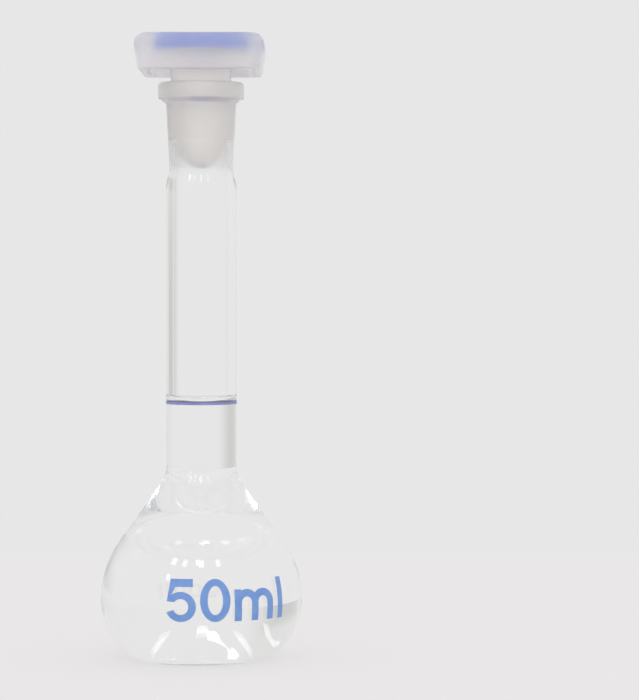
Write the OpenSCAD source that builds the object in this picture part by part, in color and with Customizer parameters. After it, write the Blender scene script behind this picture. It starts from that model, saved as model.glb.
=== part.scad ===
// Volumetric flask for 50 ml, with a ground taper socket and a moulded stopper that seats in it.
// Millimetres, +Z up. The origin is on the bench, on the flask's own axis.
// The glass is drawn as a profile of straight lines and true arcs, then spun about that axis.

/* [Bulb] */
// Outside diameter of the bulb at its widest level
bulb_d = 49; // [47:0.1:51]
// Height of the widest level above the bench
bulb_mid_z = 14.4; // [13.5:0.1:15.5]
// Radius of the arc that tucks the bulb in below its widest level
tuck_r = 17.5; // [16.5:0.1:19]
// Lean of the shoulder cone from the vertical, in degrees
shoulder_lean = 35.75; // [34:0.25:38]
// Glass thickness of the bulb and the shoulder
bulb_wall = 1.28; // [1.2:0.01:1.6]

/* [Foot] */
// Rounding between the bulb and the flat ring that it stands on
foot_round = 4; // [3:0.1:5]
// Radius at which the pushed-in base meets the bench plane
punt_r = 13.4; // [12:0.1:14]
// Rise of the pushed-in base at its centre
punt_h = 1.6; // [1:0.1:2]
// Rounding of the lip between the pushed-in base and the flat ring
punt_lip = 3; // [2:0.1:4]
// Glass thickness of the base
base_wall = 1.9; // [1.5:0.1:2.2]
// Rounding inside, where the base turns up into the bulb
heel_round = 3; // [2:0.1:4]

/* [Neck] */
// Outside diameter of the neck
neck_d = 17.2; // [16.5:0.1:18]
// Bore of the neck
neck_bore_d = 13.7; // [13.2:0.1:14.2]
// Outside radius of the sweep from shoulder to neck
sweep_r = 8; // [6:0.5:10]
// Height at which the neck starts to draw in to the socket
draw_in_z = 113.4; // [112:0.1:115]
// Radius of the two arcs that draw the outside in
draw_in_r = 12; // [10:0.5:14]
// Height at which the bore starts to draw in to the socket
bore_in_z = 114.2; // [113:0.1:115]
// Radius of the two arcs that draw the bore in
bore_in_r = 13; // [11:0.5:15]

/* [Ring mark] */
// Height of the ring mark's middle: filled to here, the flask holds its capacity
mark_z = 62.2; // [60:0.1:65]
// Width of the enamel band
mark_w = 0.6; // [0.4:0.05:1]
// Thickness of the enamel on the glass
mark_t = 0.08; // [0.05:0.01:0.15]

/* [Socket] */
// Height of the mouth above the bench
mouth_z = 140; // [138:0.1:142]
// Bore at the mouth, which is the wide end of the taper
mouth_d = 14.5; // [14.5:0.1:15]
// Taper on the diameter: one in this number
taper = 10; // [10:1:10]
// Outside diameter that the socket's wall would have at the mouth
socket_d = 17.55; // [17.3:0.05:17.8]
// Rounding of the mouth's inner edge
mouth_round = 0.5; // [0.3:0.1:0.6]

/* [Collar] */
// Outside diameter of the collar round the mouth
collar_d = 21; // [20.5:0.1:21.5]
// Height at which the collar's sloping underside reaches its full width
collar_low_z = 136; // [135.5:0.1:136.5]
// Slope of the collar's underside from the horizontal, in degrees
collar_slope = 31; // [20:1:40]
// Rounding of the collar's top edge
collar_top_round = 1; // [0.6:0.1:1.2]
// Rounding of the collar's lower edge
collar_low_round = 0.6; // [0.4:0.1:0.8]
// Rounding of the root under the collar
collar_root_round = 0.8; // [0.5:0.1:1.2]

/* [Stopper] */
// Clearance between the plug and the ground socket, all round
seat_gap = 0.04; // [0.02:0.01:0.08]
// Height of the plug's nose when seated
nose_z = 119.25; // [118.8:0.05:119.5]
// Radius of the arc that rounds the nose in
nose_r = 7.7; // [7:0.1:8.5]
// Rounding of the nose's tip
nose_tip_r = 3; // [2:0.1:4]
// Wall of the hollow plug
plug_wall = 1.5; // [1.2:0.1:1.8]
// Rounding between the plug and the roof of the head
plug_root_round = 1.2; // [0.8:0.1:1.6]
// Height of the head's lower edge when seated
head_low_z = 142.3; // [142:0.1:142.6]
// Height of the head's top when seated
head_top_z = 151.1; // [150.8:0.1:151.4]
// Width across the head's flats at the top, before its edge is rounded
head_w = 32; // [31.6:0.1:32.4]
// Rounding of the head's four upright corners
head_corner_r = 5; // [4:0.1:6]
// Draft on the head's sides, in degrees, narrower below
head_draft = 8.8; // [6:0.1:10]
// Rounding of the head's top edge
head_top_round = 2.6; // [2:0.1:3]
// Rounding of the head's lower edge
head_low_round = 0.8; // [0.4:0.1:0.8]
// Wall of the head's skirt
skirt_wall = 2; // [1.8:0.1:2.2]
// Thickness of the web between the skirt's hollow and the disc
head_web = 1.4; // [1.2:0.1:1.6]
// Rounding inside the skirt, where it meets the web
skirt_round = 1.2; // [0.8:0.1:1.4]

/* [Size disc] */
// Diameter of the coloured disc let into the head
disc_d = 22.6; // [21.5:0.1:23]
// Thickness of the coloured disc
disc_t = 3.2; // [2.8:0.1:3.4]
// Rounding of the disc's top edge
disc_round = 0.35; // [0.2:0.05:0.5]
// How far the disc's top stays below the head's
disc_sink = 0.15; // [0:0.05:0.3]
// Interference that holds the disc in its pocket, all round
disc_grip = 0.02; // [0:0.01:0.04]

/* [Hidden] */
$fn = 120;
// Greatest distance between an arc and the chords that draw it
ARC_SAG = 0.01;
GLASS = [0.86, 0.92, 0.93, 0.45];
ENAMEL = [0.36, 0.50, 0.80];
MILKY = [0.90, 0.89, 0.91, 0.85];
BLUE = [0.33, 0.43, 0.78];

bulb_r = bulb_d / 2;
neck_r = neck_d / 2;
bore_r = neck_bore_d / 2;
taper_lean = atan(1 / (2 * taper));
tuck_c = [bulb_r - tuck_r, bulb_mid_z];
ball_c = [0, bulb_mid_z];
punt_ball_r = (punt_r * punt_r + punt_h * punt_h) / (2 * punt_h);
punt_c = [0, punt_h - punt_ball_r];
disc_low_z = head_top_z - disc_sink - disc_t;
hollow_top_z = disc_low_z - head_web;

// ---- Outlines, in [radius, height] ----
// A line is [angle, distance]: the angle of its normal, which points out of the material,
// and how far along that normal the line lies from the origin.

function unit(angle) = [cos(angle), sin(angle)];

function angle_of(way) = atan2(way.y, way.x);

function line_through(angle, point) = [angle, unit(angle) * point];

function moved(line, by) = [line[0], line[1] + by];

// Point where two lines cross
function crossing(a, b) =
    let (det = sin(b[0] - a[0]))
    [(a[1] * sin(b[0]) - b[1] * sin(a[0])) / det, (b[1] * cos(a[0]) - a[1] * cos(b[0])) / det];

// Radius of a line at a height
function radius_at(line, z) = (line[1] - sin(line[0]) * z) / cos(line[0]);

// Outer crossing of two circles, the upper one given first
function circles_crossing(upper, upper_r, lower, lower_r) =
    let (gap = norm(lower - upper), way = (lower - upper) / gap)
    let (along = (upper_r * upper_r - lower_r * lower_r + gap * gap) / (2 * gap))
    upper + along * way + sqrt(upper_r * upper_r - along * along) * [-way.y, way.x];

// Upper one of a line's two points at distance r from a centre
function line_at_distance(line, centre, r) =
    let (n = unit(line[0]), offset = line[1] - n * centre)
    centre + offset * n + sqrt(r * r - offset * offset) * [-n.y, n.x];

// Points along an arc from one angle to another
function arc(centre, r, from, to) =
    let (steps = ceil(abs(to - from) / (2 * acos(1 - ARC_SAG / r))))
    [for (i = [0:steps]) centre + r * unit(from + (to - from) * i / steps)];

// Arc that rounds the corner between two lines. side is -1 where the corner sticks out, 1 where it is hollow.
function rounded(a, b, r, side) =
    let (centre = crossing(moved(a, side * r), moved(b, side * r)))
    [for (p = arc([0, 0], r, a[0], b[0])) centre - side * p];

function reversed(points) = [for (i = [len(points) - 1:-1:0]) points[i]];

// ---- Flask ----

neck_side = [0, neck_r];
bore_side = [0, bore_r];
socket_side = line_through(-taper_lean, [socket_d / 2, mouth_z]);
seat_side = line_through(-taper_lean, [mouth_d / 2, mouth_z]);
rim = [90, mouth_z];
collar_side = [0, collar_d / 2];
collar_under = line_through(collar_slope - 90, [collar_d / 2, collar_low_z]);

// Up the bulb from an angle on its tuck to the neck. skin is the depth below the outer surface.
function bulb_path(skin, tuck_from, side, blend_r) =
    let (ball_r = bulb_r - skin, cone = line_through(shoulder_lean, ball_c + ball_r * unit(shoulder_lean)))
    concat(
        arc(tuck_c, tuck_r - skin, tuck_from, 0),
        arc(ball_c, ball_r, 0, shoulder_lean),
        rounded(cone, side, blend_r, 1)
    );

// Drawing in from a straight tube to a tapered one, by two arcs of one radius
function draw_in_path(side, tapered, start_z, r) =
    let (low_c = [side[1] - r, start_z], high_c = line_at_distance(moved(tapered, r), low_c, 2 * r))
    let (turn = angle_of(high_c - low_c))
    concat(arc(low_c, r, 0, turn), arc(high_c, r, turn + 180, tapered[0] + 180));

// Out from the socket's wall, round the collar and in to the mouth
function collar_path() = concat(
    rounded(socket_side, collar_under, collar_root_round, 1),
    rounded(collar_under, collar_side, collar_low_round, -1),
    rounded(collar_side, rim, collar_top_round, -1),
    rounded(rim, [180 + seat_side[0], -seat_side[1]], mouth_round, -1)
);

// From the middle of the pushed-in base, out round the foot and up to the mouth
function outer_path() =
    let (lip_reach = punt_ball_r + punt_lip, lip_drop = punt_lip - punt_c.y)
    let (lip_c = [sqrt(lip_reach * lip_reach - lip_drop * lip_drop), punt_lip])
    let (lip_turn = angle_of(lip_c - punt_c))
    let (foot_reach = tuck_r - foot_round, foot_drop = bulb_mid_z - foot_round)
    let (foot_c = [tuck_c.x + sqrt(foot_reach * foot_reach - foot_drop * foot_drop), foot_round])
    let (foot_turn = angle_of(foot_c - tuck_c))
    concat(
        arc(punt_c, punt_ball_r, 90, lip_turn),
        arc(lip_c, punt_lip, lip_turn - 180, -90),
        arc(foot_c, foot_round, -90, foot_turn),
        bulb_path(0, foot_turn, neck_side, sweep_r),
        draw_in_path(neck_side, socket_side, draw_in_z, draw_in_r),
        collar_path()
    );

// From the middle of the floor inside, round the heel and up to the socket
function inner_path() =
    let (floor_r = punt_ball_r + base_wall, inner_tuck_r = tuck_r - bulb_wall)
    let (heel_c = circles_crossing(tuck_c, inner_tuck_r - heel_round, punt_c, floor_r + heel_round))
    let (floor_turn = angle_of(heel_c - punt_c), tuck_turn = angle_of(heel_c - tuck_c))
    concat(
        arc(punt_c, floor_r, 90, floor_turn),
        arc(heel_c, heel_round, floor_turn - 180, tuck_turn),
        bulb_path(bulb_wall, tuck_turn, bore_side, sweep_r + neck_r - bore_r),
        draw_in_path(bore_side, seat_side, bore_in_z, bore_in_r)
    );

module flask() {
    color(GLASS) rotate_extrude() polygon(concat(outer_path(), reversed(inner_path())));
}

// Enamel band fired onto the neck
module ring_mark() {
    color(ENAMEL) translate([0, 0, mark_z - mark_w / 2]) difference() {
        cylinder(r = neck_r + mark_t, h = mark_w);
        translate([0, 0, -1]) cylinder(r = neck_r, h = mark_w + 2);
    }
}

// ---- Stopper ----

plug_side = moved(seat_side, -seat_gap);

// From the tip of the plug's nose up its tapered side. skin is the depth below the outer surface.
function plug_path(skin) =
    let (tip_c = [0, nose_z + nose_tip_r])
    let (nose_c = line_at_distance(moved(plug_side, -nose_r), tip_c, nose_r - nose_tip_r))
    let (tip_turn = angle_of(tip_c - nose_c))
    concat(
        arc(tip_c, nose_tip_r - skin, -90, tip_turn),
        arc(nose_c, nose_r - skin, tip_turn, plug_side[0])
    );

// Section of the head outside the square of its corner centres. reach is the radius of the upright
// corners at the head's top, and the side leans in below that by the draft.
module head_edge(reach, low_z, top_z, low_round, top_round) {
    side = line_through(-head_draft, [reach, head_top_z]);
    polygon(concat(
        [[0, low_z]],
        rounded([-90, -low_z], side, low_round, -1),
        rounded(side, [90, top_z], top_round, -1),
        [[0, top_z]]
    ));
}

// Rounded-square block with drafted sides: one section, pushed along each side and turned round each corner
module head_block(reach, low_z, top_z, low_round, top_round) {
    core = head_w / 2 - head_corner_r;
    translate([-core, -core, low_z]) cube([2 * core, 2 * core, top_z - low_z]);
    for (quarter = [0:3]) rotate([0, 0, 90 * quarter]) translate([core, core, 0]) {
        rotate([90, 0, 0]) linear_extrude(2 * core) head_edge(reach, low_z, top_z, low_round, top_round);
        rotate_extrude(angle = 90) head_edge(reach, low_z, top_z, low_round, top_round);
    }
}

// Moulded stopper: skirted head, hollow tapered plug, and a pocket for the disc in the head's top
module stopper() {
    roof = [-90, -hollow_top_z];
    plug_bore = moved(plug_side, -plug_wall);
    hollow_corner_r = head_corner_r - skirt_wall;
    color(MILKY) difference() {
        union() {
            difference() {
                head_block(head_corner_r, head_low_z, head_top_z, head_low_round, head_top_round);
                // The skirt's hollow runs on below the head, so that it opens downwards
                head_block(hollow_corner_r, head_low_z - 1, hollow_top_z, skirt_round / 2, skirt_round);
            }
            rotate_extrude() polygon(concat(
                plug_path(0),
                rounded(plug_side, roof, plug_root_round, 1),
                [[radius_at(plug_side, hollow_top_z) + plug_root_round, disc_low_z], [0, disc_low_z]]
            ));
        }
        rotate_extrude() polygon(concat(
            plug_path(plug_wall),
            [[radius_at(plug_bore, head_top_z), head_top_z], [0, head_top_z]]
        ));
        translate([0, 0, disc_low_z]) cylinder(d = disc_d, h = head_top_z);
    }
}

// Coloured disc that codes the size of the socket and closes the hollow plug
module size_disc() {
    side = [0, disc_d / 2 + disc_grip];
    top = [90, disc_low_z + disc_t];
    color(BLUE) rotate_extrude() polygon(concat(
        [[0, disc_low_z], [side[1], disc_low_z]],
        rounded(side, top, disc_round, -1),
        [[0, top[1]]]
    ));
}

flask();
ring_mark();
stopper();
size_disc();
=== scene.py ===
"""Looks of a one-mark measuring flask: clear glass, fired enamel, a milky stopper and a liquid.

The object's lengths are in millimetres, as on a glassblower's drawing, and turn into metres where
a mesh is made. The glass, ring mark, liquid and disc are turned from their own half-sections by
one Geometry Nodes lathe. The stopper is a loft of rings, some round and some rounded-square.
"""

import logging
import math
from dataclasses import dataclass, field
from enum import Enum
from functools import cache

import bmesh
import bpy
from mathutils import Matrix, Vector


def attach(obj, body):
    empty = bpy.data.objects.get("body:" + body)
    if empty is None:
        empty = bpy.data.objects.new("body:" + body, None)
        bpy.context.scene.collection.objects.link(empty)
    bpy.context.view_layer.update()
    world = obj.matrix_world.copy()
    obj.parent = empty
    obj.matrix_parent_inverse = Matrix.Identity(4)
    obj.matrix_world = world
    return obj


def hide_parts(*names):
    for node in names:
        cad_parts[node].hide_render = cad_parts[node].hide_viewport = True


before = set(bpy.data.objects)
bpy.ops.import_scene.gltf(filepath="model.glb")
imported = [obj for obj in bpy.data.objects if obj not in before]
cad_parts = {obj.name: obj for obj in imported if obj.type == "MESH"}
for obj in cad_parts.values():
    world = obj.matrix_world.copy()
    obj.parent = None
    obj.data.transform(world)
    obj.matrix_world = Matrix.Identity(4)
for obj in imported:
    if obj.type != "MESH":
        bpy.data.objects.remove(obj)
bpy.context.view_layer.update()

LOG = logging.getLogger("flask")
MM = 0.001
ARC_SAG = 0.002  # mm between an arc and its chord
SAME_POINT = 1e-4  # mm
CORNER = 40.0  # degrees

Point = tuple[float, float]
Colour = tuple[float, float, float]
Path = list[Vector]
Loops = list[list[Point]]
Tree = bpy.types.NodeTree
Outputs = bpy.types.NodeOutputs
Socket = bpy.types.NodeSocket
Material = bpy.types.Material
Piece = bpy.types.Object


# ---- outlines, in [radius, height], mm


@dataclass(frozen=True)
class Line:
    """A straight side: its outward normal's angle, in degrees, and its distance along it."""

    angle: float
    distance: float

    def moved(self, by: float) -> "Line":
        """The same line, shifted along its normal."""
        return Line(self.angle, self.distance + by)

    def flipped(self) -> "Line":
        """The same line with its normal turned round."""
        return Line(180 + self.angle, -self.distance)


def unit(angle: float) -> Vector:
    """Unit vector at an angle in degrees."""
    return Vector((math.cos(math.radians(angle)), math.sin(math.radians(angle))))


def angle_of(way: Vector) -> float:
    """Angle of a vector, in degrees."""
    return math.degrees(math.atan2(way.y, way.x))


def line_through(angle: float, point: Point) -> Line:
    """Line with a normal at an angle, through a point."""
    return Line(angle, unit(angle).dot(Vector(point)))


def circles_crossing(upper: Vector, upper_r: float, lower: Vector, lower_r: float) -> Vector:
    """Outer crossing of two circles, the upper one given first.

    Args:
        upper: centre of the upper circle.
        upper_r: its radius.
        lower: centre of the lower circle.
        lower_r: its radius.

    Returns:
        The crossing further from the axis.
    """
    gap = (lower - upper).length
    way = (lower - upper) / gap
    along = (upper_r**2 - lower_r**2 + gap**2) / (2 * gap)
    return upper + along * way + math.sqrt(upper_r**2 - along**2) * Vector((-way.y, way.x))


def line_at_distance(line: Line, centre: Vector, reach: float) -> Vector:
    """Upper one of a line's two points at a distance from a centre.

    Args:
        line: the line.
        centre: the centre.
        reach: the distance.

    Returns:
        The point.
    """
    normal = unit(line.angle)
    offset = line.distance - normal.dot(centre)
    along = math.sqrt(reach**2 - offset**2)
    return centre + offset * normal + along * Vector((-normal.y, normal.x))


def arc(centre: Vector, radius: float, start: float, end: float) -> Path:
    """Points along an arc.

    Args:
        centre: centre of the arc.
        radius: its radius.
        start: first angle, in degrees.
        end: last angle, in degrees.

    Returns:
        Points close enough together to stay within ARC_SAG of the true arc.
    """
    step = 2 * math.degrees(math.acos(1 - ARC_SAG / radius))
    steps = max(2, math.ceil(abs(end - start) / step))
    return [centre + radius * unit(start + (end - start) * i / steps) for i in range(steps + 1)]


def rounded(a: Line, b: Line, radius: float, side: int) -> Path:
    """Arc that rounds the corner of two lines.

    Args:
        a: the line that the outline comes along.
        b: the line that it leaves by.
        radius: radius of the rounding.
        side: -1 where the corner sticks out, 1 where it is hollow.

    Returns:
        Points from line a to line b.
    """
    u, v = unit(a.angle), unit(b.angle)
    p, q = a.distance + side * radius, b.distance + side * radius
    centre = Vector((p * v.y - q * u.y, q * u.x - p * v.x)) / (u.x * v.y - v.x * u.y)
    turn = (b.angle - a.angle + 180) % 360 - 180
    return [centre - side * point for point in arc(Vector((0, 0)), radius, a.angle, a.angle + turn)]


def joined(pieces: list[Path], step: float = 6.0) -> Path:
    """One outline from several, with the straight stretches between them divided.

    Args:
        pieces: the outlines, in order.
        step: longest straight step.

    Returns:
        Points of the outline.
    """
    points: Path = []
    for piece in pieces:
        if points:
            last = points[-1]
            steps = math.ceil((piece[0] - last).length / step)
            points += [last.lerp(piece[0], i / steps) for i in range(1, steps)]
        for p in piece:
            if not points or (p - points[-1]).length > SAME_POINT:
                points.append(p)
    return points


# ---- node helpers


def new_material(name: str) -> tuple[Material, Tree]:
    """Material with an empty node tree, and that tree.

    Args:
        name: name of the material.

    Returns:
        The material and its tree.
    """
    material = bpy.data.materials.new(name)
    material.use_nodes = True
    material.node_tree.nodes.clear()
    return material, material.node_tree


def new_tree(name: str, kind: str, inputs: dict[str, str], outputs: dict[str, str]) -> Tree:
    """Empty node group with its sockets.

    Args:
        name: name of the group.
        kind: Blender's name of the tree type.
        inputs: type of each input, by its name.
        outputs: type of each output, by its name.

    Returns:
        The group's tree.
    """
    tree = bpy.data.node_groups.new(name, kind)
    for way, sockets in (("INPUT", inputs), ("OUTPUT", outputs)):
        for label, socket in sockets.items():
            tree.interface.new_socket(label, in_out=way, socket_type="NodeSocket" + socket)
    return tree


def node(tree: Tree, kind: str, place: Point = (0, 0), given: dict[str | int, object] | None = None,
         **settings: object) -> bpy.types.Node:
    """Adds a node.

    Args:
        tree: the tree that it goes in.
        kind: Blender's name of the node type.
        place: where it stands in the editor.
        given: what feeds its inputs, by name or number: sockets or plain values.
        settings: properties to set on it.

    Returns:
        The node.
    """
    made = tree.nodes.new(kind)
    made.location = place
    for key, value in settings.items():
        setattr(made, key, value)
    for key, value in (given or {}).items():
        if isinstance(value, Socket):
            tree.links.new(value, made.inputs[key])
        else:
            made.inputs[key].default_value = value
    return made


def maths(tree: Tree, operation: str, *values: object) -> Socket:
    """Output of a Math node fed by sockets or plain numbers."""
    given = dict(enumerate(values))
    return node(tree, "ShaderNodeMath", given=given, operation=operation).outputs[0]


def ramp(tree: Tree, value: Socket, low: float, high: float,
         to_low: float = 0.0, to_high: float = 1.0) -> Socket:
    """Smooth step of a value from one range to another, clamped."""
    given = {"Value": value, "From Min": low, "From Max": high, "To Min": to_low, "To Max": to_high}
    return node(tree, "ShaderNodeMapRange", given=given, interpolation_type="SMOOTHSTEP").outputs[0]


def axes_of(tree: Tree) -> Outputs:
    """X, Y and Z of the shaded point, from Object coordinates."""
    place = node(tree, "ShaderNodeTexCoord", (-1100, 0))
    return node(tree, "ShaderNodeSeparateXYZ", (-900, 0), {0: place.outputs["Object"]}).outputs


class Speckle:
    """Shader group of the printed and moulded finishes: fine grain as a mask and as a height."""

    mask_range = (0.35, 0.65)

    @staticmethod
    @cache
    def group() -> Tree:
        """The group's tree, built once.

        Returns:
            The tree.
        """
        inputs = dict.fromkeys(("Grain Scale", "Patch Scale", "Patch Share"), "Float")
        outputs = {"Mask": "Float", "Height": "Float"}
        tree = new_tree("fine_speckle", "ShaderNodeTree", inputs, outputs)
        own = node(tree, "NodeGroupInput", (-700, 0)).outputs
        place = node(tree, "ShaderNodeTexCoord", (-700, 200)).outputs["Object"]
        grain, patch = (
            node(tree, "ShaderNodeTexNoise", (-450, up), {
                "Vector": place, "Scale": own[scale], "Detail": detail}).outputs["Fac"]
            for scale, detail, up in (("Grain Scale", 3.0, 200), ("Patch Scale", 2.0, -100))
        )
        mix = node(tree, "ShaderNodeMix", (-200, 100), {
            "Factor": own["Patch Share"], "A": grain, "B": patch})
        mask = ramp(tree, mix.outputs["Result"], *Speckle.mask_range)
        node(tree, "NodeGroupOutput", (100, 0), {"Mask": mask, "Height": grain})
        return tree

    @classmethod
    def placed(cls, tree: Tree, grain: float, patch: float, share: float) -> Outputs:
        """Outputs of the group as a node of a material, with its own values."""
        given = {"Grain Scale": grain, "Patch Scale": patch, "Patch Share": share}
        return node(tree, "ShaderNodeGroup", (-500, 0), given, node_tree=cls.group()).outputs


def tinted(tree: Tree, mask: Socket, low: Colour, high: Colour) -> Socket:
    """Colour that runs from low to high with a mask."""
    given = {"Factor": mask, 6: (*low, 1), 7: (*high, 1)}
    return node(tree, "ShaderNodeMix", (-200, 200), given, data_type="RGBA").outputs[2]


def bumped(tree: Tree, height: Socket, depth: float) -> Socket:
    """Normal of a Bump node, its depth in metres."""
    given = {"Strength": 1.0, "Distance": depth, "Height": height}
    return node(tree, "ShaderNodeBump", (-200, -300), given).outputs["Normal"]


def glowing(tree: Tree, colour: object, strength: object = 1.0) -> Socket:
    """Shader that gives off a colour."""
    given = {"Color": colour, "Strength": strength}
    return node(tree, "ShaderNodeEmission", (-200, 0), given).outputs[0]


def shown(tree: Tree, shader: Socket) -> None:
    """Sends a shader to the material's output."""
    node(tree, "ShaderNodeOutputMaterial", (600, 0), {"Surface": shader})


def mixed(tree: Tree, share: Socket, first: Socket, second: Socket) -> Socket:
    """Mix of two shaders, where a share of 1 is the second one."""
    given = {"Fac": share, 1: first, 2: second}
    return node(tree, "ShaderNodeMixShader", (350, 0), given).outputs[0]


def lamps_let_through(tree: Tree, shader: Socket, share: float) -> Socket:
    """Lets lamp light pass a clear shader, dimmed to a share, as light passes real glass.

    Args:
        tree: the material's tree.
        shader: the clear shader.
        share: the share of the light that passes.

    Returns:
        The shader's output.
    """
    given = {"Color": (share, share, share, 1)}
    clear = node(tree, "ShaderNodeBsdfTransparent", (100, -100), given).outputs[0]
    return mixed(tree, node(tree, "ShaderNodeLightPath").outputs["Is Shadow Ray"], shader, clear)


# ---- finishes


@dataclass(frozen=True)
class ClearGlass:
    """Fire-polished laboratory glass, matt where the socket is ground inside.

    The ground zone lies between two heights and within a reach of the axis, all in mm.
    """

    ground_from: float
    ground_to: float
    ground_reach: float
    ground_fade: float = 1.8
    ground_roughness: float = 0.45
    tint: Colour = (0.992, 0.995, 0.990)
    index: float = 1.473
    lets_through: float = 0.98

    def made(self) -> Material:
        """Builds the material.

        Returns:
            The material.
        """
        material, tree = new_material("clear_glass")
        x, y, z = axes_of(tree)
        squares = (maths(tree, "MULTIPLY", axis, axis) for axis in (x, y))
        across = maths(tree, "SQRT", maths(tree, "ADD", *squares))
        low, high, fade = self.ground_from * MM, self.ground_to * MM, self.ground_fade * MM
        above = ramp(tree, z, low - fade, low + fade)
        below = ramp(tree, z, high, high + fade, 1.0, 0.0)
        inside = maths(tree, "LESS_THAN", across, self.ground_reach * MM)
        ground = maths(tree, "MULTIPLY", maths(tree, "MULTIPLY", above, below), inside)
        glass = node(tree, "ShaderNodeBsdfPrincipled", given={
            "Base Color": (*self.tint, 1),
            "Transmission Weight": 1.0,
            "IOR": self.index,
            "Roughness": maths(tree, "MULTIPLY", ground, self.ground_roughness),
        })
        shown(tree, lamps_let_through(tree, glass.outputs[0], self.lets_through))
        return material


@dataclass(frozen=True)
class ClearLiquid:
    """Clear watery liquid."""

    tint: Colour = (0.996, 0.998, 0.999)
    index: float = 1.333
    lets_through: float = 0.97

    def made(self) -> Material:
        """Builds the material.

        Returns:
            The material.
        """
        material, tree = new_material("clear_liquid")
        water = node(tree, "ShaderNodeBsdfPrincipled", given={
            "Base Color": (*self.tint, 1),
            "Transmission Weight": 1.0,
            "IOR": self.index,
            "Roughness": 0.0,
        })
        shown(tree, lamps_let_through(tree, water.outputs[0], self.lets_through))
        return material


@dataclass(frozen=True)
class GrainedFinish:
    """What the printed and moulded finishes share: grain from a thin to a full tone."""

    name: str
    thin: Colour
    full: Colour

    def grained(self, tree: Tree, grain: Outputs, relief: float,
                values: dict[str, object]) -> Socket:
        """Shader with the grain in its colour and normal.

        Args:
            tree: the material's tree.
            grain: the speckle's outputs.
            relief: depth of the grain, mm.
            values: what feeds the shader's other inputs.

        Returns:
            The shader's output.
        """
        skin = {"Base Color": tinted(tree, grain["Mask"], self.thin, self.full),
                "Normal": bumped(tree, grain["Height"], relief * MM)}
        return node(tree, "ShaderNodeBsdfPrincipled", given=skin | values).outputs[0]


@dataclass(frozen=True)
class Enamel(GrainedFinish):
    """Screen-printed enamel, fired into the glass: slightly uneven colour, faint grain."""

    relief: float = 0.004
    roughness: float = 0.34
    index: float = 1.5

    def made(self) -> Material:
        """Builds the material.

        Returns:
            The material.
        """
        material, tree = new_material(self.name)
        grain = Speckle.placed(tree, grain=4200.0, patch=420.0, share=0.55)
        values = {"Roughness": self.roughness, "IOR": self.index}
        shown(tree, self.grained(tree, grain, self.relief, values))
        return material


@dataclass(frozen=True)
class MilkyPlastic(GrainedFinish):
    """Translucent moulded polypropylene: part clear and part scattering, with a satin skin."""

    clearness: float
    roughness: float
    unevenness: float = 0.03
    relief: float = 0.012
    index: float = 1.22
    lets_through: float = 0.97

    def made(self) -> Material:
        """Builds the material.

        Returns:
            The material.
        """
        material, tree = new_material(self.name)
        grain = Speckle.placed(tree, grain=1800.0, patch=160.0, share=0.6)
        smooth, matt = self.roughness - self.unevenness, self.roughness + self.unevenness
        plastic = self.grained(tree, grain, self.relief, {
            "Roughness": ramp(tree, grain["Mask"], 0.0, 1.0, smooth, matt),
            "Transmission Weight": self.clearness,
            "IOR": self.index,
        })
        shown(tree, lamps_let_through(tree, plastic, self.lets_through))
        return material


@dataclass(frozen=True)
class SatinPlastic(GrainedFinish):
    """Solid coloured plastic with a satin moulded skin, which light enters a little way."""

    relief: float = 0.01
    roughness: float = 0.4
    light_share: float = 0.3
    light_depth: float = 1.5
    light_colour: Colour = (0.3, 0.4, 1.0)

    def made(self) -> Material:
        """Builds the material.

        Returns:
            The material.
        """
        material, tree = new_material(self.name)
        grain = Speckle.placed(tree, grain=1500.0, patch=140.0, share=0.6)
        shown(tree, self.grained(tree, grain, self.relief, {
            "Roughness": self.roughness,
            "Subsurface Weight": self.light_share,
            "Subsurface Radius": self.light_colour,
            "Subsurface Scale": self.light_depth * MM,
        }))
        return material


# ---- mesh helpers


def linked(name: str, data: bpy.types.ID) -> Piece:
    """New object on a mesh, lamp or camera, in the scene.

    Args:
        name: name of the object.
        data: its mesh, lamp or camera.

    Returns:
        The object.
    """
    made = bpy.data.objects.new(name, data)
    bpy.context.scene.collection.objects.link(made)
    return made


def facing_out(mesh: bpy.types.Mesh) -> None:
    """Turns a closed mesh's faces outwards and smooths them, apart from its true corners.

    Args:
        mesh: the mesh.
    """
    work = bmesh.new()
    work.from_mesh(mesh)
    bmesh.ops.recalc_face_normals(work, faces=work.faces)
    if work.calc_volume(signed=True) < 0:
        bmesh.ops.reverse_faces(work, faces=work.faces)
    for face in work.faces:
        face.smooth = True
    work.to_mesh(mesh)
    work.free()
    mesh.set_sharp_from_angle(angle=math.radians(CORNER))


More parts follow.
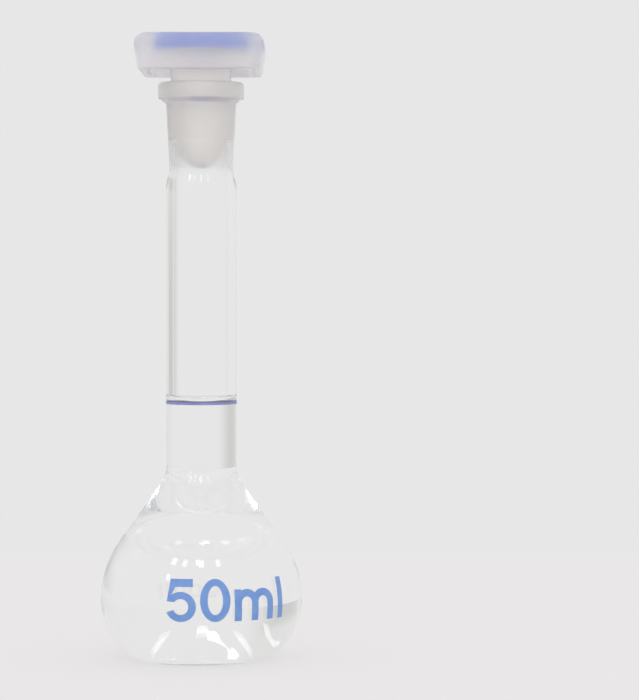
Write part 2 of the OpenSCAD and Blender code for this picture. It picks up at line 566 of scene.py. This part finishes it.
class Lathe:
    """Geometry Nodes tree that turns a half-section about the upright axis."""

    @staticmethod
    @cache
    def tree() -> Tree:
        """The tree, built once.

        Returns:
            The tree.
        """
        tree = new_tree("turned_section", "GeometryNodeTree", {
            "Section": "Geometry", "Segments": "Int", "Path Radius": "Float", "Weld": "Float",
            "Finish": "Material"}, {"Body": "Geometry"})
        own = node(tree, "NodeGroupInput", (-800, 0)).outputs
        section = node(tree, "GeometryNodeMeshToCurve", (-550, -150), {"Mesh": own["Section"]})
        path = node(tree, "GeometryNodeCurvePrimitiveCircle", (-550, 150), {
            "Resolution": own["Segments"], "Radius": own["Path Radius"]}, mode="RADIUS")
        sweep = node(tree, "GeometryNodeCurveToMesh", (-300, 0), {
            "Curve": path.outputs["Curve"], "Profile Curve": section.outputs["Curve"]})
        weld = node(tree, "GeometryNodeMergeByDistance", (-100, 0), {
            "Geometry": sweep.outputs["Mesh"], "Distance": own["Weld"]})
        real = node(tree, "GeometryNodeRealizeInstances", (100, 0), {
            "Geometry": weld.outputs["Geometry"]})
        finish = node(tree, "GeometryNodeSetMaterial", (300, 0), {
            "Geometry": real.outputs["Geometry"], "Material": own["Finish"]})
        node(tree, "NodeGroupOutput", (500, 0), {"Body": finish.outputs["Geometry"]})
        return tree

    @classmethod
    def turned(cls, name: str, section: Path, finish: Material, segments: int = 200,
               closed: bool = False) -> Piece:
        """Turns a half-section into a closed body.

        Args:
            name: name of the piece.
            section: points of the half-section, mm.
            finish: material of the body.
            segments: how many steps make the turn.
            closed: True where the section is a loop clear of the axis.

        Returns:
            The piece, as a plain mesh.
        """
        path_radius = 0.01
        # The sweep lays a section's Y downwards
        points = [(p.x * MM - path_radius, -p.y * MM, 0.0) for p in section]
        edges = [(i, i + 1) for i in range(len(points) - 1)]
        if closed:
            edges.append((len(points) - 1, 0))
        line = bpy.data.meshes.new(name + "_section")
        line.from_pydata(points, edges, [])
        holder = linked(name + "_section", line)
        modifier = holder.modifiers.new("turn", "NODES")
        modifier.node_group = cls.tree()
        values = {"Segments": segments, "Path Radius": path_radius, "Weld": 1e-6, "Finish": finish}
        for item in modifier.node_group.interface.items_tree:
            if item.in_out == "INPUT" and item.name in values:
                modifier[item.identifier] = values[item.name]
        bpy.context.view_layer.update()
        evaluated = holder.evaluated_get(bpy.context.evaluated_depsgraph_get())
        mesh = bpy.data.meshes.new_from_object(evaluated)
        mesh.name = name
        bpy.data.objects.remove(holder)
        bpy.data.meshes.remove(line)
        facing_out(mesh)
        return linked(name, mesh)


def dressed(piece: Piece, body: str, node_name: str | None = None) -> Piece:
    """Puts a piece on its body.

    Args:
        piece: the finished piece.
        body: CAD body that it moves with.
        node_name: CAD node that it stands for, where it stands for one.

    Returns:
        The piece.
    """
    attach(piece, body)
    if node_name:
        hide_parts(node_name)
    LOG.info("%s: %d faces on %s", piece.name, len(piece.data.polygons), body)
    return piece


# ---- the glass


@dataclass
class FlaskGlass:
    """The one piece of glass: foot, bulb, shoulder, neck, ground socket and collar. Sizes in mm."""

    bulb_d: float = 49.0
    bulb_mid: float = 14.4
    tuck_r: float = 17.5
    shoulder_lean: float = 35.75
    bulb_wall: float = 1.28
    foot_round: float = 4.0
    punt_r: float = 13.4
    punt_h: float = 1.6
    punt_lip: float = 3.0
    base_wall: float = 1.9
    heel_round: float = 3.0
    neck_d: float = 17.2
    neck_bore: float = 13.7
    sweep_r: float = 8.0
    draw_in_z: float = 113.4
    draw_in_r: float = 12.0
    bore_in_z: float = 114.2
    bore_in_r: float = 13.0
    mouth_z: float = 140.0
    mouth_d: float = 14.5
    taper: float = 10.0
    socket_d: float = 17.55
    mouth_round: float = 0.5
    collar_d: float = 21.0
    collar_low: float = 136.0
    collar_slope: float = 31.0
    collar_top_round: float = 1.0
    collar_low_round: float = 0.6
    collar_root_round: float = 0.8
    ground_below: float = 1.8
    ground_margin: float = 0.05
    tuck_c: Vector = field(init=False)
    punt_ball_r: float = field(init=False)
    punt_c: Vector = field(init=False)
    socket_side: Line = field(init=False)
    seat_side: Line = field(init=False)

    def __post_init__(self) -> None:
        """Works out the centres and sides that the driving sizes fix."""
        self.tuck_c = Vector((self.bulb_d / 2 - self.tuck_r, self.bulb_mid))
        self.punt_ball_r = (self.punt_r**2 + self.punt_h**2) / (2 * self.punt_h)
        self.punt_c = Vector((0, self.punt_h - self.punt_ball_r))
        lean = math.degrees(math.atan(1 / (2 * self.taper)))
        self.socket_side = line_through(-lean, (self.socket_d / 2, self.mouth_z))
        self.seat_side = line_through(-lean, (self.mouth_d / 2, self.mouth_z))

    def bulb_path(self, skin: float, tuck_from: float, side: Line, blend_r: float) -> list[Path]:
        """Up the bulb from an angle on its tuck to the neck, at a depth below the outer surface.

        Args:
            skin: the depth.
            tuck_from: the angle, in degrees.
            side: side of the neck.
            blend_r: radius of the sweep into it.

        Returns:
            The outlines, in order.
        """
        ball_c = Vector((0, self.bulb_mid))
        ball_r = self.bulb_d / 2 - skin
        cone = line_through(self.shoulder_lean, ball_c + ball_r * unit(self.shoulder_lean))
        return [
            arc(self.tuck_c, self.tuck_r - skin, tuck_from, 0),
            arc(ball_c, ball_r, 0, self.shoulder_lean),
            rounded(cone, side, blend_r, 1),
        ]

    def draw_in_path(self, side: Line, tapered: Line, start_z: float, radius: float) -> list[Path]:
        """Drawing in from the plain tube to a tapered one, by two arcs of one radius.

        Args:
            side: side of the plain tube.
            tapered: side of the tapered one.
            start_z: height where the first arc starts.
            radius: radius of both arcs.

        Returns:
            The two arcs.
        """
        low_c = Vector((side.distance - radius, start_z))
        high_c = line_at_distance(tapered.moved(radius), low_c, 2 * radius)
        turn = angle_of(high_c - low_c)
        return [arc(low_c, radius, 0, turn), arc(high_c, radius, turn + 180, tapered.angle + 180)]

    def outer_path(self) -> Path:
        """From the middle of the pushed-in base, round the foot and up to the mouth.

        Returns:
            Points of the path.
        """
        lip_reach = self.punt_ball_r + self.punt_lip
        lip_out = math.sqrt(lip_reach**2 - (self.punt_lip - self.punt_c.y) ** 2)
        lip_c = Vector((lip_out, self.punt_lip))
        lip_turn = angle_of(lip_c - self.punt_c)
        foot_reach = self.tuck_r - self.foot_round
        foot_out = math.sqrt(foot_reach**2 - (self.bulb_mid - self.foot_round) ** 2)
        foot_c = Vector((self.tuck_c.x + foot_out, self.foot_round))
        foot_turn = angle_of(foot_c - self.tuck_c)
        rim = Line(90, self.mouth_z)
        side = Line(0, self.collar_d / 2)
        under = line_through(self.collar_slope - 90, (self.collar_d / 2, self.collar_low))
        neck = Line(0, self.neck_d / 2)
        return joined([
            arc(self.punt_c, self.punt_ball_r, 90, lip_turn),
            arc(lip_c, self.punt_lip, lip_turn - 180, -90),
            arc(foot_c, self.foot_round, -90, foot_turn),
            *self.bulb_path(0, foot_turn, neck, self.sweep_r),
            *self.draw_in_path(neck, self.socket_side, self.draw_in_z, self.draw_in_r),
            rounded(self.socket_side, under, self.collar_root_round, 1),
            rounded(under, side, self.collar_low_round, -1),
            rounded(side, rim, self.collar_top_round, -1),
            rounded(rim, self.seat_side.flipped(), self.mouth_round, -1),
        ])

    def inner_path(self, grow: float = 0.0) -> Path:
        """From the middle of the floor inside, round the heel and up to the socket.

        Args:
            grow: how far the path lies inside the glass wall, for a liquid that wets it.

        Returns:
            Points of the path.
        """
        floor_r = self.punt_ball_r + self.base_wall - grow
        skin = self.bulb_wall - grow
        tuck_r = self.tuck_r - skin
        heel = self.heel_round + grow
        heel_c = circles_crossing(self.tuck_c, tuck_r - heel, self.punt_c, floor_r + heel)
        floor_turn = angle_of(heel_c - self.punt_c)
        tuck_turn = angle_of(heel_c - self.tuck_c)
        bore = Line(0, self.neck_bore / 2 + grow)
        sweep = self.sweep_r + (self.neck_d - self.neck_bore) / 2 - grow
        return joined([
            arc(self.punt_c, floor_r, 90, floor_turn),
            arc(heel_c, heel, floor_turn - 180, tuck_turn),
            *self.bulb_path(skin, tuck_turn, bore, sweep),
            *self.draw_in_path(bore, self.seat_side, self.bore_in_z, self.bore_in_r),
        ])

    def radius_at(self, height: float) -> float:
        """Outer radius of the glass at a height on the bulb, mm.

        Args:
            height: the height, mm.

        Returns:
            The radius.
        """
        path = self.outer_path()
        widest = max(range(len(path)), key=lambda i: path[i].x)
        side = path[widest:] if height >= self.bulb_mid else path[: widest + 1]
        for low, high in zip(side, side[1:]):
            if low.y <= height <= high.y and high.y > low.y:
                return low.x + (high.x - low.x) * (height - low.y) / (high.y - low.y)
        return self.bulb_d / 2

    def build(self) -> Piece:
        """Turns the glass.

        Returns:
            The piece.
        """
        finish = ClearGlass(
            ground_from=self.inner_path()[-1].y - self.ground_below,
            ground_to=self.mouth_z - self.mouth_round,
            ground_reach=self.mouth_d / 2 + self.ground_margin,
        ).made()
        section = self.outer_path() + self.inner_path()[::-1]
        piece = Lathe.turned("flask_glass", section, finish)
        return dressed(piece, "vessel", "flask")


@dataclass
class RingMark:
    """Enamel band round the neck. Sizes in mm."""

    glass: FlaskGlass
    middle: float = 62.2
    width: float = 0.6
    thickness: float = 0.08
    edge_round: float = 0.048
    sink: float = 0.02
    paint: Enamel = Enamel("ring_enamel", (0.34, 0.36, 0.71), (0.25, 0.28, 0.63))

    def build(self) -> Piece:
        """Turns the band.

        Returns:
            The piece.
        """
        neck_r = self.glass.neck_d / 2
        half = self.width / 2
        side = Line(0, neck_r + self.thickness)
        top = Line(90, self.middle + half)
        bottom = Line(-90, half - self.middle)
        section = joined([
            [Vector((neck_r - self.sink, self.middle - half))],
            rounded(bottom, side, self.edge_round, -1),
            rounded(side, top, self.edge_round, -1),
            [Vector((neck_r - self.sink, self.middle + half))],
        ])
        piece = Lathe.turned("ring_enamel", section, self.paint.made(), closed=True)
        return dressed(piece, "vessel", "ring_mark")


@dataclass
class Liquid:
    """Clear liquid up to the ring, wetting the glass and climbing it a little. Sizes in mm."""

    glass: FlaskGlass
    level: float = 62.45
    climb: float = 1.6
    fall: float = 2.2
    wetting: float = 0.05
    skin_steps: int = 14
    crowding: float = 1.4

    def build(self) -> Piece:
        """Turns the body of liquid.

        Returns:
            The piece.
        """
        wall = [p for p in self.glass.inner_path(self.wetting) if p.y < self.level]
        edge_r = self.glass.neck_bore / 2 + self.wetting
        wall.append(Vector((edge_r, self.level + self.climb)))
        for i in range(1, self.skin_steps + 1):
            reach = edge_r * (1 - (i / self.skin_steps) ** self.crowding)
            height = self.level + self.climb * math.exp((reach - edge_r) / self.fall)
            wall.append(Vector((reach, height)))
        piece = Lathe.turned("liquid_fill", joined([wall]), ClearLiquid().made())
        return dressed(piece, "vessel")


# ---- the print


class Glyph(Enum):
    """Plain characters that the flask carries, each with the gap after it, mm."""

    FIVE = 0.96
    ZERO = 1.05
    EM = 1.7
    EL = 0.0


def bow(centre: Point, across: float, up: float, start: float, end: float,
        steps: int) -> list[Point]:
    """Points along part of an ellipse, from one angle to another.

    Args:
        centre: its centre.
        across: its half-width.
        up: its half-height.
        start: first angle, in degrees.
        end: last angle, in degrees.
        steps: how many steps to take.

    Returns:
        The points.
    """
    points = []
    for i in range(steps + 1):
        turn = math.radians(start + (end - start) * i / steps)
        points.append((centre[0] + across * math.cos(turn), centre[1] + up * math.sin(turn)))
    return points


@dataclass
class Lettering:
    """Plain heavy capacity number, laid on the bulb as fired enamel. Sizes in mm."""

    glass: FlaskGlass
    stroke: float = 1.82
    tall: float = 10.1
    low_case: float = 7.5
    baseline: float = 11.5
    start_angle: float = -17.9
    five_wide: float = 7.4
    five_bowl: float = 3.55
    zero_wide: float = 7.3
    arch: float = 2.66
    lift: float = 0.03
    sink: float = 0.02
    cell: float = 0.5
    paint: Enamel = Enamel("print_enamel", (0.245, 0.43, 0.87), (0.19, 0.365, 0.80))

    def five(self) -> tuple[Loops, float]:
        """Loop of the figure five, and its width.

        Returns:
            The loop and the width.
        """
        w, s, h = self.five_wide, self.stroke, self.tall
        rx, ry = w / 2, self.five_bowl
        bar_end, bar_low = w - 0.8, h - s * 1.02
        join, tail, crook = 128, -158, 142
        bar = [(1.05, h), (bar_end, h), (bar_end, bar_low), (2.35, bar_low)]
        outer = bow((rx, ry), rx, ry, join, tail, 56)
        inner = bow((rx, ry), rx - s, ry - s * 0.92, tail, crook, 56)
        return [[*bar, *outer, *inner, (0.35, ry + 1.25)]], w

    def zero(self) -> tuple[Loops, float]:
        """Loops of the figure nought, and its width."""
        x, y, s = self.zero_wide / 2, self.tall / 2, self.stroke
        return [bow((x, y), x - i * s, y - i * 0.9 * s, 0, 360, 96)[:-1] for i in (0, 1)], 2 * x

    def em(self) -> tuple[Loops, float]:
        """Loop of the letter m, and its width.

        Returns:
            The loop and the width.
        """
        s, h, gap = self.stroke, self.low_case, self.arch
        outer, inner = gap / 2 + s, gap / 2
        step = gap + s
        first = s + gap / 2
        second = first + step
        notch = math.degrees(math.acos(inner / outer))
        meet = math.degrees(math.acos(step / 2 / outer))
        loop = [(0, 0), (0, h), (s * 0.92, h)]
        loop += bow((first, h - outer), outer, outer, 180 - notch, meet, 20)
        loop += bow((second, h - outer), outer, outer, 180 - meet, 0, 28)
        loop += [(second + outer, 0), (second + inner, 0)]
        loop += bow((second, h - outer), inner, inner * 1.05, 0, 180, 24)
        loop += [(second - inner, 0), (first + inner, 0)]
        loop += bow((first, h - outer), inner, inner * 1.05, 0, 180, 24)
        loop += [(first - inner, 0)]
        return [loop], second + outer

    def el(self) -> tuple[Loops, float]:
        """Loop of the letter l, and its width."""
        w, h = 0.95 * self.stroke, 0.965 * self.tall
        return [[(0, 0), (0, h), (w, h), (w, 0)]], w

    def flat(self, loops: Loops) -> bmesh.types.BMesh:
        """Fills the loops of a character and cuts the filling into small cells.

        Args:
            loops: its outlines.

        Returns:
            The flat mesh.
        """
        work = bmesh.new()
        for loop in loops:
            kept = [p for i, p in enumerate(loop) if math.dist(p, loop[i - 1]) > SAME_POINT]
            corners = [work.verts.new((*p, 0)) for p in kept]
            for a, b in zip(corners, corners[1:] + corners[:1]):
                work.edges.new((a, b))
        bmesh.ops.triangle_fill(work, edges=work.edges, use_beauty=True, use_dissolve=False)
        for way in (Vector((1, 0, 0)), Vector((0, 1, 0))):
            spots = [v.co.dot(way) for v in work.verts]
            low, high = min(spots), max(spots)
            for i in range(1, math.ceil((high - low) / self.cell)):
                place = (low + i * self.cell) * way
                everything = [*work.verts, *work.edges, *work.faces]
                bmesh.ops.bisect_plane(work, geom=everything, plane_co=place, plane_no=way,
                                       dist=1e-5)
        return work

    def wrapped(self, name: str, flats: list[tuple[bmesh.types.BMesh, float]]) -> Piece:
        """Lays flat characters on the bulb as one thin solid.

        Args:
            name: name of the piece.
            flats: each flat mesh, with the angle where it starts.

        Returns:
            The piece.
        """
        points: list[tuple[float, float, float]] = []
        faces: list[list[int]] = []
        reach = self.glass.bulb_d / 2
        for work, start in flats:
            work.verts.ensure_lookup_table()
            count, first = len(work.verts), len(points)
            for depth in (self.lift, -self.sink):
                for v in work.verts:
                    turn = math.radians(start) + v.co.x / reach
                    height = self.baseline + v.co.y
                    radius = self.glass.radius_at(height) + depth
                    across, along = radius * math.sin(turn), -radius * math.cos(turn)
                    points.append((across * MM, along * MM, height * MM))
            for face in work.faces:
                top = [first + v.index for v in face.verts]
                faces.append(top)
                faces.append([i + count for i in reversed(top)])
            for edge in work.edges:
                if len(edge.link_faces) == 1:
                    loop = edge.link_loops[0]
                    a, b = first + loop.vert.index, first + loop.link_loop_next.vert.index
                    faces.append([b, a, a + count, b + count])
            work.free()
        mesh = bpy.data.meshes.new(name)
        mesh.from_pydata(points, [], faces)
        mesh.materials.append(self.paint.made())
        facing_out(mesh)
        for polygon in mesh.polygons:
            polygon.use_smooth = False
        return linked(name, mesh)

    def build(self) -> Piece:
        """Prints the capacity.

        Returns:
            The piece.
        """
        drawn = {Glyph.FIVE: self.five, Glyph.ZERO: self.zero, Glyph.EM: self.em, Glyph.EL: self.el}
        reach = self.glass.bulb_d / 2
        along = 0.0
        flats = []
        for glyph in Glyph:
            loops, width = drawn[glyph]()
            flats.append((self.flat(loops), self.start_angle + math.degrees(along / reach)))
            along += width + glyph.value
        return dressed(self.wrapped("capacity_print", flats), "vessel")


# ---- the stopper


class Outline(Enum):
    """Shape of a ring of the stopper's loft: a circle, or the head's rounded square."""

    ROUND = "round"
    SQUARE = "square"


@dataclass
class Stopper:
    """Hollow tapered plug under a skirted, rounded-square head. Sizes in mm."""

    glass: FlaskGlass
    seat_grip: float = 0.01
    nose_z: float = 119.25
    nose_r: float = 7.7
    nose_tip_r: float = 3.0
    plug_wall: float = 1.5
    plug_root_round: float = 1.2
    head_low: float = 142.3
    head_top: float = 151.1
    head_w: float = 32.0
    corner_r: float = 5.0
    draft: float = 8.8
    top_round: float = 2.6
    low_round: float = 0.8
    skirt_wall: float = 2.0
    web: float = 1.4
    skirt_round: float = 1.2
    disc_d: float = 22.6
    disc_t: float = 3.2
    disc_sink: float = 0.15
    pocket_round: float = 0.25
    bore_mouth_round: float = 0.4
    flat_steps: int = 18
    corner_steps: int = 12
    span: float = 2.0
    walls: tuple[MilkyPlastic, ...] = (
        MilkyPlastic("milky_thick_wall", (0.93, 0.912, 0.916), (0.97, 0.952, 0.956), 0.65, 0.58),
        MilkyPlastic("milky_thin_wall", (0.97, 0.945, 0.935), (1.0, 0.975, 0.965), 1.0, 0.47),
    )

    def disc_low(self) -> float:
        """Height of the pocket's floor."""
        return self.head_top - self.disc_sink - self.disc_t

    def plug_path(self, skin: float) -> Path:
        """From the tip of the nose up its curve, at a depth below the outer surface.

        Args:
            skin: the depth.

        Returns:
            Points of the path.
        """
        side = self.glass.seat_side.moved(self.seat_grip)
        tip_c = Vector((0, self.nose_z + self.nose_tip_r))
        nose_c = line_at_distance(side.moved(-self.nose_r), tip_c, self.nose_r - self.nose_tip_r)
        turn = angle_of(tip_c - nose_c)
        return joined([
            arc(tip_c, self.nose_tip_r - skin, -90, turn),
            arc(nose_c, self.nose_r - skin, turn, side.angle),
        ])

    def rings(self) -> list[tuple[Outline, Vector]]:
        """All rings, from the nose's tip over the outside and back down to the bottom of the bore.

        Returns:
            Each ring's shape, with its radius, or the square's corner radius, and its height.
        """
        side = self.glass.seat_side.moved(self.seat_grip)
        bore = side.moved(-self.plug_wall).flipped()
        hollow_top = self.disc_low() - self.web
        roof = Line(-90, -hollow_top)
        outer = line_through(-self.draft, (self.corner_r, self.head_top))
        inner_r = self.corner_r - self.skirt_wall
        inner = line_through(-self.draft, (inner_r, self.head_top)).flipped()
        low = Line(-90, -self.head_low)
        top = Line(90, self.head_top)
        pocket = Line(180, -self.disc_d / 2)
        disc_floor = Line(90, self.disc_low())
        root = rounded(side, roof, self.plug_root_round, 1)
        parts: list[tuple[Outline, Path]] = [
            (Outline.ROUND, joined([self.plug_path(0), root], self.span)),
            (Outline.SQUARE, rounded(roof, inner, self.skirt_round, 1)),
            (Outline.SQUARE, joined([
                rounded(inner, low, self.low_round / 2, -1),
                rounded(low, outer, self.low_round, -1),
                rounded(outer, top, self.top_round, -1)], self.span)),
            (Outline.ROUND, joined([
                rounded(top, pocket, self.pocket_round, -1),
                [Vector((self.disc_d / 2, self.disc_low()))],
                rounded(disc_floor, bore, self.bore_mouth_round, -1)], self.span)),
            (Outline.ROUND, self.plug_path(self.plug_wall)[::-1]),
        ]
        return [(outline, p) for outline, path in parts for p in path]

    def frame_points(self) -> list[tuple[Vector, Vector, float]]:
        """The steps round the head.

        Returns:
            For each step, the core square's point, the way out and the angle from the axis.
        """
        core = self.head_w / 2 - self.corner_r
        spots = [core * (-1 + 2 * i / self.flat_steps) for i in range(self.flat_steps)]
        flats = [(Vector((core, spot)), unit(0)) for spot in spots]
        turns = [90 * i / self.corner_steps for i in range(self.corner_steps)]
        corners = [(Vector((core, core)), unit(turn)) for turn in turns]
        steps = []
        for quarter in range(4):
            c, s = unit(90 * quarter)
            for pair in flats + corners:
                place, way = (Vector((c * p.x - s * p.y, s * p.x + c * p.y)) for p in pair)
                edge = place + self.corner_r * way
                steps.append((place, way, math.atan2(edge.y, edge.x)))
        return steps

    def build(self) -> Piece:
        """Lofts the stopper.

        Returns:
            The piece.
        """
        steps = self.frame_points()
        work = bmesh.new()
        loops = []
        for outline, (reach, height) in self.rings():
            if reach < SAME_POINT:
                loops.append([work.verts.new((0, 0, height * MM))])
                continue
            loop = []
            for place, way, turn in steps:
                if outline is Outline.ROUND:
                    p = reach * Vector((math.cos(turn), math.sin(turn)))
                else:
                    p = place + reach * way
                loop.append(work.verts.new((p.x * MM, p.y * MM, height * MM)))
            loops.append(loop)
        for a, b in zip(loops, loops[1:]):
            for i in range(len(steps)):
                j = (i + 1) % len(steps)
                corners = [a[i % len(a)], a[j % len(a)], b[j % len(b)], b[i % len(b)]]
                unique = [v for k, v in enumerate(corners) if v not in corners[:k]]
                if len(unique) > 2:
                    work.faces.new(unique)
        bmesh.ops.remove_doubles(work, verts=work.verts, dist=SAME_POINT * MM)
        plug_top = (self.disc_low() - self.web) * MM
        plug_reach = (self.glass.mouth_d / 2 + self.plug_root_round) * MM
        for face in work.faces:
            middle = face.calc_center_median()
            face.material_index = int(middle.z < plug_top and middle.xy.length < plug_reach)
        mesh = bpy.data.meshes.new("stopper_moulding")
        work.to_mesh(mesh)
        work.free()
        facing_out(mesh)
        for wall in self.walls:
            mesh.materials.append(wall.made())
        piece = linked("stopper_moulding", mesh)
        return dressed(piece, "closure", "stopper")


@dataclass
class SizeDisc:
    """Blue disc pressed into the head's top. Sizes in mm."""

    stopper: Stopper
    edge_round: float = 0.35
    grip: float = 0.02
    span: float = 2.0
    segments: int = 160
    plastic: SatinPlastic = SatinPlastic(
        "blue_polypropylene", (0.07, 0.205, 0.82), (0.10, 0.25, 0.88))

    def build(self) -> Piece:
        """Turns the disc.

        Returns:
            The piece.
        """
        low = self.stopper.disc_low()
        side = Line(0, self.stopper.disc_d / 2 + self.grip)
        top = Line(90, low + self.stopper.disc_t)
        section = joined([
            [Vector((0, low)), Vector((side.distance, low))],
            rounded(side, top, self.edge_round, -1),
            [Vector((0, top.distance))],
        ], self.span)
        piece = Lathe.turned("size_disc_blue", section, self.plastic.made(), self.segments)
        return dressed(piece, "closure", "size_disc")


# ---- the stage


@dataclass(frozen=True)
class Strip:
    """A flat lamp round the point that the lamps aim at.

    Its azimuth runs to the right from the camera's side. Its low edge, high edge and width are
    angles seen from that point, in degrees. Its reach is in metres. A glow of 1 is white.
    """

    name: str
    azimuth: float
    low: float
    high: float
    width: float
    glow: float
    reach: float


@dataclass
class Stage:
    """Floor, surroundings, lamps and camera. Lengths in metres."""

    distance: float = 0.645
    eye: float = 0.0903
    aside: float = 0.0288
    tilt: float = 1.36
    lens: float = 136.06
    sensor: float = 36.0
    backdrop: Colour = (0.80, 0.80, 0.802)
    floor: Colour = (0.80, 0.785, 0.792)
    floor_seen: Colour = (0.17, 0.166, 0.168)
    floor_lift: Colour = (0.678, 0.664, 0.67)
    floor_tone: Colour = (0.83, 0.815, 0.822)
    floor_clear: float = 0.75
    floor_half: float = 3.0
    floor_front: float = -1.2
    floor_back: float = 0.311
    floor_fade: float = 0.09
    card_reach: float = 1.1
    card_turns: tuple[float, ...] = (-64, -46, -34, -13)
    card_low: float = -0.3
    card_high: float = 0.9
    card_steps: int = 24
    card_tone: Colour = (0.55, 0.55, 0.535)
    card_fade: tuple[float, float] = (0.05, 0.22)
    card_fade_share: float = 0.75
    lamp_aim: float = 0.116
    bounces: int = 64
    diffuse_bounces: int = 8
    strips: tuple[Strip, ...] = (
        Strip("strip_far_left", -39, 24, 34, 6.0, 2.8, 0.27),
        Strip("strip_left", -22, 24, 34, 6.0, 2.2, 0.27),
        Strip("strip_middle", 2, 24, 34, 6.0, 3.5, 0.27),
        Strip("strip_right", 27, 24, 34, 6.0, 2.2, 0.27),
        Strip("spot_left", -41, 20, 27, 3.0, 4.0, 1.4),
        Strip("spot_top", -3, 42, 47, 4.0, 9.0, 1.4),
    )

    def world(self) -> None:
        """Pale surroundings, the same to every kind of ray."""
        world = bpy.data.worlds.new("pale_surroundings")
        bpy.context.scene.world = world
        world.use_nodes = True
        tree = world.node_tree
        tree.nodes.clear()
        given = {"Color": (*self.backdrop, 1), "Strength": 1.0}
        sky = node(tree, "ShaderNodeBackground", given=given)
        node(tree, "ShaderNodeOutputWorld", (300, 0), {"Surface": sky.outputs[0]})

    def table(self) -> None:
        """Pale table top that fades into the backdrop at its far edge.

        It lights the object with its own colour. Seen directly, it is a darker paper with a glow,
        so that the object's shadow stays soft. Seen through glass, it is mostly one plain tone.
        """
        wide, front, back = self.floor_half, self.floor_front, self.floor_back
        mesh = bpy.data.meshes.new("table_top")
        corners = [(-wide, front, 0), (wide, front, 0), (wide, back, 0), (-wide, back, 0)]
        mesh.from_pydata(corners, [], [(0, 1, 2, 3)])
        material, tree = new_material("table_white")
        fade = ramp(tree, axes_of(tree)["Y"], back - self.floor_fade, back)
        path = node(tree, "ShaderNodeLightPath", (-800, 400)).outputs
        bounced = maths(tree, "MAXIMUM", path["Is Glossy Ray"], path["Is Transmission Ray"])
        seen = maths(tree, "MAXIMUM", path["Is Camera Ray"], bounced)
        colour = tinted(tree, seen, self.floor, self.floor_seen)
        paper = node(tree, "ShaderNodeBsdfDiffuse", (-200, 300), {"Color": colour})
        lift = glowing(tree, (*self.floor_lift, 1), seen)
        pale = node(tree, "ShaderNodeAddShader", (0, 200), {0: paper.outputs[0], 1: lift})
        through = maths(tree, "MULTIPLY", path["Is Transmission Ray"], self.floor_clear)
        near = mixed(tree, through, pale.outputs[0], glowing(tree, (*self.floor_tone, 1)))
        shown(tree, mixed(tree, fade, near, glowing(tree, (*self.backdrop, 1))))
        mesh.materials.append(material)
        linked("table_top", mesh)

    def side_card(self) -> None:
        """Curved grey card behind and to the left, which gives the clear glass its dark edge."""
        reach = self.card_reach
        turns = (math.radians(turn) for turn in self.card_turns)
        start, start_dark, end_dark, end = (reach * math.sin(turn) for turn in turns)
        points = []
        for i in range(self.card_steps + 1):
            across = start + (end - start) * i / self.card_steps
            along = math.sqrt(reach**2 - across**2)
            points += [(across, along, self.card_low), (across, along, self.card_high)]
        faces = [(i, i + 2, i + 3, i + 1) for i in range(0, 2 * self.card_steps, 2)]
        mesh = bpy.data.meshes.new("side_card")
        mesh.from_pydata(points, [], faces)
        card = linked("side_card", mesh)
        card.visible_camera = card.visible_diffuse = card.visible_shadow = False
        material, tree = new_material("side_card_grey")
        x, _, z = axes_of(tree)
        right = ramp(tree, x, end_dark, end)
        left = ramp(tree, x, start, start_dark, 1.0, 0.0)
        above = ramp(tree, z, *self.card_fade, 0.0, self.card_fade_share)
        pale = maths(tree, "MAXIMUM", maths(tree, "MAXIMUM", left, right), above)
        shown(tree, glowing(tree, tinted(tree, pale, self.card_tone, self.backdrop)))
        mesh.materials.append(material)

    def lamps(self) -> None:
        """Lamps in front of and above the object, each facing the point that they aim at."""
        target = Vector((0, 0, self.lamp_aim))
        for strip in self.strips:
            middle = math.radians((strip.low + strip.high) / 2)
            turn = math.radians(strip.azimuth)
            level = math.cos(middle)
            way = Vector((level * math.sin(turn), -level * math.cos(turn), math.sin(middle)))
            data = bpy.data.lights.new(strip.name, "AREA")
            data.shape = "RECTANGLE"
            data.size = strip.reach * math.radians(strip.width)
            data.size_y = strip.reach * math.radians(strip.high - strip.low)
            data.energy = strip.glow * math.pi * data.size * data.size_y
            lamp = linked(strip.name, data)
            lamp.location = target + strip.reach * way
            lamp.rotation_euler = (-way).to_track_quat("-Z", "Y").to_euler()

    def camera(self) -> None:
        """Camera to the object's right, a little above its middle and almost level."""
        data = bpy.data.cameras.new("view")
        data.sensor_width = self.sensor
        data.lens = self.lens
        data.clip_start = 0.01
        camera = linked("view", data)
        camera.location = (self.aside, -self.distance, self.eye)
        camera.rotation_euler = (math.radians(90 - self.tilt), 0, 0)
        bpy.context.scene.camera = camera

    def build(self) -> None:
        """Sets the stage."""
        for part in (self.camera, self.world, self.table, self.side_card, self.lamps):
            part()
        scene = bpy.context.scene
        scene.view_settings.view_transform = "Standard"
        scene.cycles.diffuse_bounces = self.diffuse_bounces
        for kind in ("max", "transmission", "glossy", "transparent_max"):
            setattr(scene.cycles, kind + "_bounces", self.bounces)


def main() -> None:
    """Builds the pieces in order and sets the stage."""
    logging.basicConfig(level=logging.INFO, format="%(name)s: %(message)s")
    glass = FlaskGlass()
    stopper = Stopper(glass)
    makers = (glass, RingMark(glass), Liquid(glass), Lettering(glass), stopper, SizeDisc(stopper))
    for maker in makers:
        maker.build()
    Stage().build()


if __name__ == "__main__":
    main()
